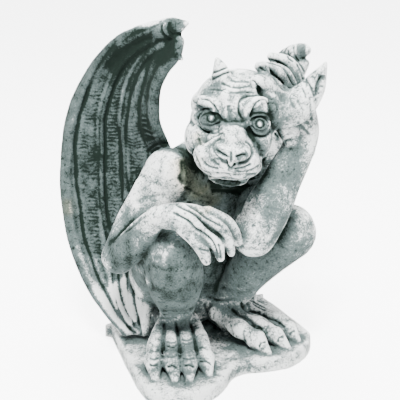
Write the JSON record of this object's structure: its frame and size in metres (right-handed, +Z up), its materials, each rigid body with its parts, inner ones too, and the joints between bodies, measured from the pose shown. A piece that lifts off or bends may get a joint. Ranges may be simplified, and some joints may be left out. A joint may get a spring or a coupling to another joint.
{
  "type": "garden gargoyle statue",
  "caption": "Crouching winged stone gargoyle on a low irregular slab, head propped on its left hand, right hand hanging over the knee.",
  "frame": {"origin": "on the slab's underside, below the middle of the figure", "axes": "+Z up, -Y out of the gargoyle's chest, +X to the gargoyle's left"},
  "size_m": [0.3416, 0.345, 0.4994],
  "materials": {
    "cast_stone": "weathered, mottled grey-green, matt and finely pitted"
  },
  "bodies": {
    "root": {"gargoyle": "cast_stone"}
  },
  "joints": []
}
